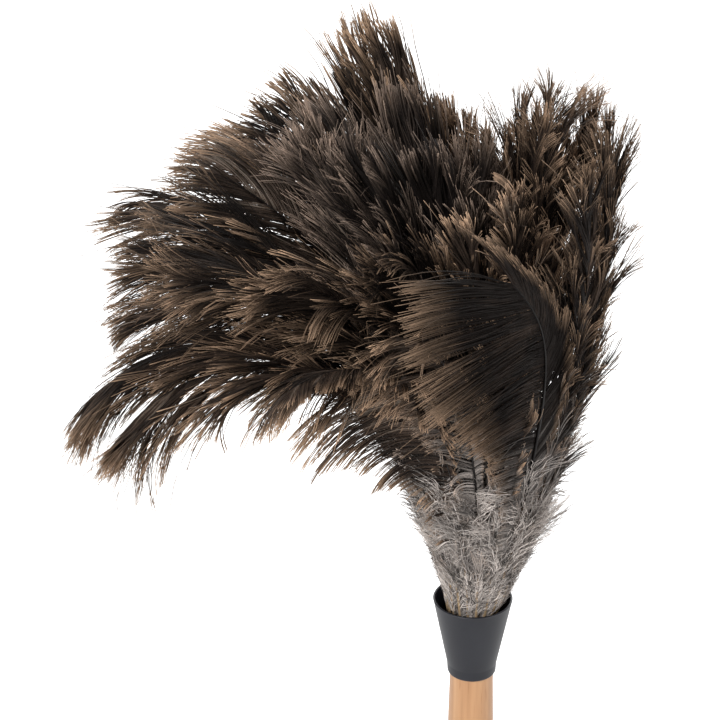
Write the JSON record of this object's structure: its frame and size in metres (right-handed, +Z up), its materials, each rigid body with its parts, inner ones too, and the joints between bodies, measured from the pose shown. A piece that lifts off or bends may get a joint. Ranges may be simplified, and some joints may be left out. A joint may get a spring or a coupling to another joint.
{
  "type": "feather duster",
  "caption": "Long-feather duster with a turned wooden handle, a dark flared ferrule, wire-bound feathers that splay outward and a swinging leather hanging loop.",
  "frame": {"origin": "centre of the flat butt of the handle", "axes": "+Z up the handle towards the feathers, -X towards the side the head leans and droops to, -Y towards the viewer"},
  "size_m": [0.2292, 0.2298, 0.5167],
  "materials": {
    "beech": "clear satin lacquer over straight vertical grain",
    "ferrule_black": "smooth satin, soft highlights",
    "cord_leather": "round tan-brown leather lace, lightly worn",
    "quill": "horn-like cream keratin, slightly glossy",
    "wire": "dull drawn wire",
    "feather_outer": "soft loose barbs, grey down at the base, dark brown body, lighter brown tips",
    "feather_middle": "soft loose barbs, near-black brown with lighter tips",
    "feather_inner": "soft loose barbs, dark brown with some taupe strands"
  },
  "bodies": {
    "handle_assembly": {"handle": "beech", "ferrule": "ferrule_black", "quill_roots_inner": "quill", "binding_wire_inner": "wire", "quill_roots_middle": "quill", "binding_wire_middle": "wire", "quill_roots_outer": "quill", "binding_wire_outer": "wire"},
    "loop": {"hanging_loop": "cord_leather"},
    "outer_feather_01": {"feather_outer_01": "feather_outer"},
    "outer_feather_02": {"feather_outer_02": "feather_outer"},
    "outer_feather_03": {"feather_outer_03": "feather_outer"},
    "outer_feather_04": {"feather_outer_04": "feather_outer"},
    "outer_feather_05": {"feather_outer_05": "feather_outer"},
    "outer_feather_06": {"feather_outer_06": "feather_outer"},
    "outer_feather_07": {"feather_outer_07": "feather_outer"},
    "outer_feather_08": {"feather_outer_08": "feather_outer"},
    "outer_feather_09": {"feather_outer_09": "feather_outer"},
    "outer_feather_10": {"feather_outer_10": "feather_outer"},
    "outer_feather_11": {"feather_outer_11": "feather_outer"},
    "outer_feather_12": {"feather_outer_12": "feather_outer"},
    "outer_feather_13": {"feather_outer_13": "feather_outer"},
    "outer_feather_14": {"feather_outer_14": "feather_outer"},
    "outer_feather_15": {"feather_outer_15": "feather_outer"},
    "outer_feather_16": {"feather_outer_16": "feather_outer"},
    "outer_feather_17": {"feather_outer_17": "feather_outer"},
    "outer_feather_18": {"feather_outer_18": "feather_outer"},
    "outer_feather_19": {"feather_outer_19": "feather_outer"},
    "outer_feather_20": {"feather_outer_20": "feather_outer"},
    "middle_feather_01": {"feather_middle_01": "feather_middle"},
    "middle_feather_02": {"feather_middle_02": "feather_middle"},
    "middle_feather_03": {"feather_middle_03": "feather_middle"},
    "middle_feather_04": {"feather_middle_04": "feather_middle"},
    "middle_feather_05": {"feather_middle_05": "feather_middle"},
    "middle_feather_06": {"feather_middle_06": "feather_middle"},
    "middle_feather_07": {"feather_middle_07": "feather_middle"},
    "middle_feather_08": {"feather_middle_08": "feather_middle"},
    "middle_feather_09": {"feather_middle_09": "feather_middle"},
    "middle_feather_10": {"feather_middle_10": "feather_middle"},
    "middle_feather_11": {"feather_middle_11": "feather_middle"},
    "middle_feather_12": {"feather_middle_12": "feather_middle"},
    "middle_feather_13": {"feather_middle_13": "feather_middle"},
    "middle_feather_14": {"feather_middle_14": "feather_middle"},
    "middle_feather_15": {"feather_middle_15": "feather_middle"},
    "middle_feather_16": {"feather_middle_16": "feather_middle"},
    "inner_feather_01": {"feather_inner_01": "feather_inner"},
    "inner_feather_02": {"feather_inner_02": "feather_inner"},
    "inner_feather_03": {"feather_inner_03": "feather_inner"},
    "inner_feather_04": {"feather_inner_04": "feather_inner"},
    "inner_feather_05": {"feather_inner_05": "feather_inner"},
    "inner_feather_06": {"feather_inner_06": "feather_inner"},
    "inner_feather_07": {"feather_inner_07": "feather_inner"},
    "inner_feather_08": {"feather_inner_08": "feather_inner"},
    "inner_feather_09": {"feather_inner_09": "feather_inner"},
    "inner_feather_10": {"feather_inner_10": "feather_inner"},
    "inner_feather_11": {"feather_inner_11": "feather_inner"},
    "inner_feather_12": {"feather_inner_12": "feather_inner"}
  },
  "joints": [
    {"name": "loop_swing", "type": "hinge", "parent": "handle_assembly", "child": "loop", "pos_m": [0, 0, 0.016], "axis": [1, 0, 0], "range_deg": [-110, 110]},
    {"name": "splay", "type": "hinge", "parent": "handle_assembly", "child": "outer_feather_01", "pos_m": [0.01099, 0.00115, 0.217], "axis": [-0.1045, 0.9945, 0], "range_deg": [0, 10], "stiffness_Nm_per_rad": 0.1},
    {"name": "splay_outer_02", "type": "hinge", "parent": "handle_assembly", "child": "outer_feather_02", "pos_m": [0.01009, 0.00449, 0.217], "axis": [-0.4067, 0.9135, 0], "range_deg": [0, 10], "stiffness_Nm_per_rad": 0.1},
    {"name": "splay_outer_03", "type": "hinge", "parent": "handle_assembly", "child": "outer_feather_03", "pos_m": [0.00821, 0.00739, 0.217], "axis": [-0.6691, 0.7431, 0], "range_deg": [0, 10], "stiffness_Nm_per_rad": 0.1},
    {"name": "splay_outer_04", "type": "hinge", "parent": "handle_assembly", "child": "outer_feather_04", "pos_m": [0.00553, 0.00957, 0.217], "axis": [-0.866, 0.5, 0], "range_deg": [0, 10], "stiffness_Nm_per_rad": 0.1},
    {"name": "splay_outer_05", "type": "hinge", "parent": "handle_assembly", "child": "outer_feather_05", "pos_m": [0.0023, 0.01081, 0.217], "axis": [-0.9781, 0.2079, 0], "range_deg": [0, 10], "stiffness_Nm_per_rad": 0.1},
    {"name": "splay_outer_06", "type": "hinge", "parent": "handle_assembly", "child": "outer_feather_06", "pos_m": [-0.00115, 0.01099, 0.217], "axis": [-0.9945, -0.1045, 0], "range_deg": [0, 10], "stiffness_Nm_per_rad": 0.1},
    {"name": "splay_outer_07", "type": "hinge", "parent": "handle_assembly", "child": "outer_feather_07", "pos_m": [-0.00449, 0.01009, 0.217], "axis": [-0.9135, -0.4067, 0], "range_deg": [0, 10], "stiffness_Nm_per_rad": 0.1},
    {"name": "splay_outer_08", "type": "hinge", "parent": "handle_assembly", "child": "outer_feather_08", "pos_m": [-0.00739, 0.00821, 0.217], "axis": [-0.7431, -0.6691, 0], "range_deg": [0, 10], "stiffness_Nm_per_rad": 0.1},
    {"name": "splay_outer_09", "type": "hinge", "parent": "handle_assembly", "child": "outer_feather_09", "pos_m": [-0.00957, 0.00553, 0.217], "axis": [-0.5, -0.866, 0], "range_deg": [0, 10], "stiffness_Nm_per_rad": 0.1},
    {"name": "splay_outer_10", "type": "hinge", "parent": "handle_assembly", "child": "outer_feather_10", "pos_m": [-0.01081, 0.0023, 0.217], "axis": [-0.2079, -0.9781, 0], "range_deg": [0, 10], "stiffness_Nm_per_rad": 0.1},
    {"name": "splay_outer_11", "type": "hinge", "parent": "handle_assembly", "child": "outer_feather_11", "pos_m": [-0.01099, -0.00115, 0.217], "axis": [0.1045, -0.9945, 0], "range_deg": [0, 10], "stiffness_Nm_per_rad": 0.1},
    {"name": "splay_outer_12", "type": "hinge", "parent": "handle_assembly", "child": "outer_feather_12", "pos_m": [-0.01009, -0.00449, 0.217], "axis": [0.4067, -0.9135, 0], "range_deg": [0, 10], "stiffness_Nm_per_rad": 0.1},
    {"name": "splay_outer_13", "type": "hinge", "parent": "handle_assembly", "child": "outer_feather_13", "pos_m": [-0.00821, -0.00739, 0.217], "axis": [0.6691, -0.7431, 0], "range_deg": [0, 10], "stiffness_Nm_per_rad": 0.1},
    {"name": "splay_outer_14", "type": "hinge", "parent": "handle_assembly", "child": "outer_feather_14", "pos_m": [-0.00553, -0.00957, 0.217], "axis": [0.866, -0.5, 0], "range_deg": [0, 10], "stiffness_Nm_per_rad": 0.1},
    {"name": "splay_outer_15", "type": "hinge", "parent": "handle_assembly", "child": "outer_feather_15", "pos_m": [-0.0023, -0.01081, 0.217], "axis": [0.9781, -0.2079, 0], "range_deg": [0, 10], "stiffness_Nm_per_rad": 0.1},
    {"name": "splay_outer_16", "type": "hinge", "parent": "handle_assembly", "child": "outer_feather_16", "pos_m": [0.00115, -0.01099, 0.217], "axis": [0.9945, 0.1045, 0], "range_deg": [0, 10], "stiffness_Nm_per_rad": 0.1},
    {"name": "splay_outer_17", "type": "hinge", "parent": "handle_assembly", "child": "outer_feather_17", "pos_m": [0.00449, -0.01009, 0.217], "axis": [0.9135, 0.4067, 0], "range_deg": [0, 10], "stiffness_Nm_per_rad": 0.1},
    {"name": "splay_outer_18", "type": "hinge", "parent": "handle_assembly", "child": "outer_feather_18", "pos_m": [0.00739, -0.00821, 0.217], "axis": [0.7431, 0.6691, 0], "range_deg": [0, 10], "stiffness_Nm_per_rad": 0.1},
    {"name": "splay_outer_19", "type": "hinge", "parent": "handle_assembly", "child": "outer_feather_19", "pos_m": [0.00957, -0.00553, 0.217], "axis": [0.5, 0.866, 0], "range_deg": [0, 10], "stiffness_Nm_per_rad": 0.1},
    {"name": "splay_outer_20", "type": "hinge", "parent": "handle_assembly", "child": "outer_feather_20", "pos_m": [0.01081, -0.0023, 0.217], "axis": [0.2079, 0.9781, 0], "range_deg": [0, 10], "stiffness_Nm_per_rad": 0.1},
    {"name": "splay_middle_01", "type": "hinge", "parent": "handle_assembly", "child": "middle_feather_01", "pos_m": [0.0085, 0, 0.216], "axis": [0, 1, 0], "range_deg": [0, 7], "stiffness_Nm_per_rad": 0.1},
    {"name": "splay_middle_02", "type": "hinge", "parent": "handle_assembly", "child": "middle_feather_02", "pos_m": [0.00785, 0.00325, 0.216], "axis": [-0.3827, 0.9239, 0], "range_deg": [0, 7], "stiffness_Nm_per_rad": 0.1},
    {"name": "splay_middle_03", "type": "hinge", "parent": "handle_assembly", "child": "middle_feather_03", "pos_m": [0.00601, 0.00601, 0.216], "axis": [-0.7071, 0.7071, 0], "range_deg": [0, 7], "stiffness_Nm_per_rad": 0.1},
    {"name": "splay_middle_04", "type": "hinge", "parent": "handle_assembly", "child": "middle_feather_04", "pos_m": [0.00325, 0.00785, 0.216], "axis": [-0.9239, 0.3827, 0], "range_deg": [0, 7], "stiffness_Nm_per_rad": 0.1},
    {"name": "splay_middle_05", "type": "hinge", "parent": "handle_assembly", "child": "middle_feather_05", "pos_m": [0, 0.0085, 0.216], "axis": [-1, 0, 0], "range_deg": [0, 7], "stiffness_Nm_per_rad": 0.1},
    {"name": "splay_middle_06", "type": "hinge", "parent": "handle_assembly", "child": "middle_feather_06", "pos_m": [-0.00325, 0.00785, 0.216], "axis": [-0.9239, -0.3827, 0], "range_deg": [0, 7], "stiffness_Nm_per_rad": 0.1},
    {"name": "splay_middle_07", "type": "hinge", "parent": "handle_assembly", "child": "middle_feather_07", "pos_m": [-0.00601, 0.00601, 0.216], "axis": [-0.7071, -0.7071, 0], "range_deg": [0, 7], "stiffness_Nm_per_rad": 0.1},
    {"name": "splay_middle_08", "type": "hinge", "parent": "handle_assembly", "child": "middle_feather_08", "pos_m": [-0.00785, 0.00325, 0.216], "axis": [-0.3827, -0.9239, 0], "range_deg": [0, 7], "stiffness_Nm_per_rad": 0.1},
    {"name": "splay_middle_09", "type": "hinge", "parent": "handle_assembly", "child": "middle_feather_09", "pos_m": [-0.0085, 0, 0.216], "axis": [0, -1, 0], "range_deg": [0, 7], "stiffness_Nm_per_rad": 0.1},
    {"name": "splay_middle_10", "type": "hinge", "parent": "handle_assembly", "child": "middle_feather_10", "pos_m": [-0.00785, -0.00325, 0.216], "axis": [0.3827, -0.9239, 0], "range_deg": [0, 7], "stiffness_Nm_per_rad": 0.1},
    {"name": "splay_middle_11", "type": "hinge", "parent": "handle_assembly", "child": "middle_feather_11", "pos_m": [-0.00601, -0.00601, 0.216], "axis": [0.7071, -0.7071, 0], "range_deg": [0, 7], "stiffness_Nm_per_rad": 0.1},
    {"name": "splay_middle_12", "type": "hinge", "parent": "handle_assembly", "child": "middle_feather_12", "pos_m": [-0.00325, -0.00785, 0.216], "axis": [0.9239, -0.3827, 0], "range_deg": [0, 7], "stiffness_Nm_per_rad": 0.1},
    {"name": "splay_middle_13", "type": "hinge", "parent": "handle_assembly", "child": "middle_feather_13", "pos_m": [0, -0.0085, 0.216], "axis": [1, 0, 0], "range_deg": [0, 7], "stiffness_Nm_per_rad": 0.1},
    {"name": "splay_middle_14", "type": "hinge", "parent": "handle_assembly", "child": "middle_feather_14", "pos_m": [0.00325, -0.00785, 0.216], "axis": [0.9239, 0.3827, 0], "range_deg": [0, 7], "stiffness_Nm_per_rad": 0.1},
    {"name": "splay_middle_15", "type": "hinge", "parent": "handle_assembly", "child": "middle_feather_15", "pos_m": [0.00601, -0.00601, 0.216], "axis": [0.7071, 0.7071, 0], "range_deg": [0, 7], "stiffness_Nm_per_rad": 0.1},
    {"name": "splay_middle_16", "type": "hinge", "parent": "handle_assembly", "child": "middle_feather_16", "pos_m": [0.00785, -0.00325, 0.216], "axis": [0.3827, 0.9239, 0], "range_deg": [0, 7], "stiffness_Nm_per_rad": 0.1},
    {"name": "splay_inner_01", "type": "hinge", "parent": "handle_assembly", "child": "inner_feather_01", "pos_m": [0.00586, 0.00103, 0.215], "axis": [-0.1736, 0.9848, 0], "range_deg": [0, 4], "stiffness_Nm_per_rad": 0.1},
    {"name": "splay_inner_02", "type": "hinge", "parent": "handle_assembly", "child": "inner_feather_02", "pos_m": [0.00456, 0.00382, 0.215], "axis": [-0.6428, 0.766, 0], "range_deg": [0, 4], "stiffness_Nm_per_rad": 0.1},
    {"name": "splay_inner_03", "type": "hinge", "parent": "handle_assembly", "child": "inner_feather_03", "pos_m": [0.00203, 0.00559, 0.215], "axis": [-0.9397, 0.342, 0], "range_deg": [0, 4], "stiffness_Nm_per_rad": 0.1},
    {"name": "splay_inner_04", "type": "hinge", "parent": "handle_assembly", "child": "inner_feather_04", "pos_m": [-0.00103, 0.00586, 0.215], "axis": [-0.9848, -0.1736, 0], "range_deg": [0, 4], "stiffness_Nm_per_rad": 0.1},
    {"name": "splay_inner_05", "type": "hinge", "parent": "handle_assembly", "child": "inner_feather_05", "pos_m": [-0.00382, 0.00456, 0.215], "axis": [-0.766, -0.6428, 0], "range_deg": [0, 4], "stiffness_Nm_per_rad": 0.1},
    {"name": "splay_inner_06", "type": "hinge", "parent": "handle_assembly", "child": "inner_feather_06", "pos_m": [-0.00559, 0.00203, 0.215], "axis": [-0.342, -0.9397, 0], "range_deg": [0, 4], "stiffness_Nm_per_rad": 0.1},
    {"name": "splay_inner_07", "type": "hinge", "parent": "handle_assembly", "child": "inner_feather_07", "pos_m": [-0.00586, -0.00103, 0.215], "axis": [0.1736, -0.9848, 0], "range_deg": [0, 4], "stiffness_Nm_per_rad": 0.1},
    {"name": "splay_inner_08", "type": "hinge", "parent": "handle_assembly", "child": "inner_feather_08", "pos_m": [-0.00456, -0.00382, 0.215], "axis": [0.6428, -0.766, 0], "range_deg": [0, 4], "stiffness_Nm_per_rad": 0.1},
    {"name": "splay_inner_09", "type": "hinge", "parent": "handle_assembly", "child": "inner_feather_09", "pos_m": [-0.00203, -0.00559, 0.215], "axis": [0.9397, -0.342, 0], "range_deg": [0, 4], "stiffness_Nm_per_rad": 0.1},
    {"name": "splay_inner_10", "type": "hinge", "parent": "handle_assembly", "child": "inner_feather_10", "pos_m": [0.00103, -0.00586, 0.215], "axis": [0.9848, 0.1736, 0], "range_deg": [0, 4], "stiffness_Nm_per_rad": 0.1},
    {"name": "splay_inner_11", "type": "hinge", "parent": "handle_assembly", "child": "inner_feather_11", "pos_m": [0.00382, -0.00456, 0.215], "axis": [0.766, 0.6428, 0], "range_deg": [0, 4], "stiffness_Nm_per_rad": 0.1},
    {"name": "splay_inner_12", "type": "hinge", "parent": "handle_assembly", "child": "inner_feather_12", "pos_m": [0.00559, -0.00203, 0.215], "axis": [0.342, 0.9397, 0], "range_deg": [0, 4], "stiffness_Nm_per_rad": 0.1}
  ],
  "couplings": [
    {"joint": "splay_outer_02", "follows": "splay", "ratio": 1},
    {"joint": "splay_outer_03", "follows": "splay", "ratio": 1},
    {"joint": "splay_outer_04", "follows": "splay", "ratio": 1},
    {"joint": "splay_outer_05", "follows": "splay", "ratio": 1},
    {"joint": "splay_outer_06", "follows": "splay", "ratio": 1},
    {"joint": "splay_outer_07", "follows": "splay", "ratio": 1},
    {"joint": "splay_outer_08", "follows": "splay", "ratio": 1},
    {"joint": "splay_outer_09", "follows": "splay", "ratio": 1},
    {"joint": "splay_outer_10", "follows": "splay", "ratio": 1},
    {"joint": "splay_outer_11", "follows": "splay", "ratio": 1},
    {"joint": "splay_outer_12", "follows": "splay", "ratio": 1},
    {"joint": "splay_outer_13", "follows": "splay", "ratio": 1},
    {"joint": "splay_outer_14", "follows": "splay", "ratio": 1},
    {"joint": "splay_outer_15", "follows": "splay", "ratio": 1},
    {"joint": "splay_outer_16", "follows": "splay", "ratio": 1},
    {"joint": "splay_outer_17", "follows": "splay", "ratio": 1},
    {"joint": "splay_outer_18", "follows": "splay", "ratio": 1},
    {"joint": "splay_outer_19", "follows": "splay", "ratio": 1},
    {"joint": "splay_outer_20", "follows": "splay", "ratio": 1},
    {"joint": "splay_middle_01", "follows": "splay", "ratio": 0.7},
    {"joint": "splay_middle_02", "follows": "splay", "ratio": 0.7},
    {"joint": "splay_middle_03", "follows": "splay", "ratio": 0.7},
    {"joint": "splay_middle_04", "follows": "splay", "ratio": 0.7},
    {"joint": "splay_middle_05", "follows": "splay", "ratio": 0.7},
    {"joint": "splay_middle_06", "follows": "splay", "ratio": 0.7},
    {"joint": "splay_middle_07", "follows": "splay", "ratio": 0.7},
    {"joint": "splay_middle_08", "follows": "splay", "ratio": 0.7},
    {"joint": "splay_middle_09", "follows": "splay", "ratio": 0.7},
    {"joint": "splay_middle_10", "follows": "splay", "ratio": 0.7},
    {"joint": "splay_middle_11", "follows": "splay", "ratio": 0.7},
    {"joint": "splay_middle_12", "follows": "splay", "ratio": 0.7},
    {"joint": "splay_middle_13", "follows": "splay", "ratio": 0.7},
    {"joint": "splay_middle_14", "follows": "splay", "ratio": 0.7},
    {"joint": "splay_middle_15", "follows": "splay", "ratio": 0.7},
    {"joint": "splay_middle_16", "follows": "splay", "ratio": 0.7},
    {"joint": "splay_inner_01", "follows": "splay", "ratio": 0.4},
    {"joint": "splay_inner_02", "follows": "splay", "ratio": 0.4},
    {"joint": "splay_inner_03", "follows": "splay", "ratio": 0.4},
    {"joint": "splay_inner_04", "follows": "splay", "ratio": 0.4},
    {"joint": "splay_inner_05", "follows": "splay", "ratio": 0.4},
    {"joint": "splay_inner_06", "follows": "splay", "ratio": 0.4},
    {"joint": "splay_inner_07", "follows": "splay", "ratio": 0.4},
    {"joint": "splay_inner_08", "follows": "splay", "ratio": 0.4},
    {"joint": "splay_inner_09", "follows": "splay", "ratio": 0.4},
    {"joint": "splay_inner_10", "follows": "splay", "ratio": 0.4},
    {"joint": "splay_inner_11", "follows": "splay", "ratio": 0.4},
    {"joint": "splay_inner_12", "follows": "splay", "ratio": 0.4}
  ]
}
